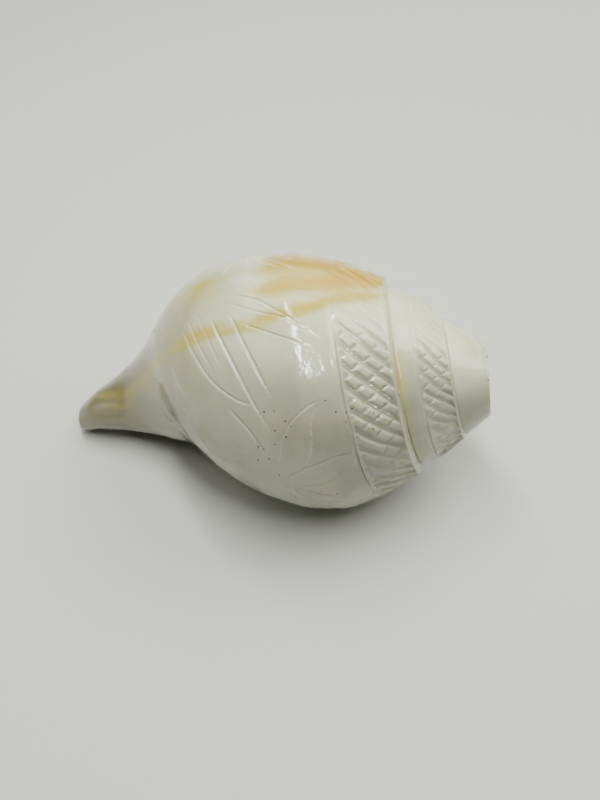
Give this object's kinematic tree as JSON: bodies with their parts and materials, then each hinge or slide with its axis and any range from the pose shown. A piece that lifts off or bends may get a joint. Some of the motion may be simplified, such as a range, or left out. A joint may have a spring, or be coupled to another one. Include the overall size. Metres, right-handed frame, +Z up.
{
  "type": "carved conch shell",
  "caption": "Polished white spiral sea shell with carved leaf strokes and a lattice band, cut and bored at the apex as a blowing conch.",
  "frame": {"origin": "middle of the bounding box on the surface that the shell lies on", "axes": "+X runs from the canal tip to the cut apex, +Y points away from the carved side that faces the viewer, +Z is up"},
  "size_m": [0.1445, 0.0934, 0.0787],
  "materials": {
    "shell": "ground and polished porcelain-white shell with tan growth streaks, carved, glossy"
  },
  "bodies": {
    "root": {"shell": "shell"}
  },
  "joints": []
}
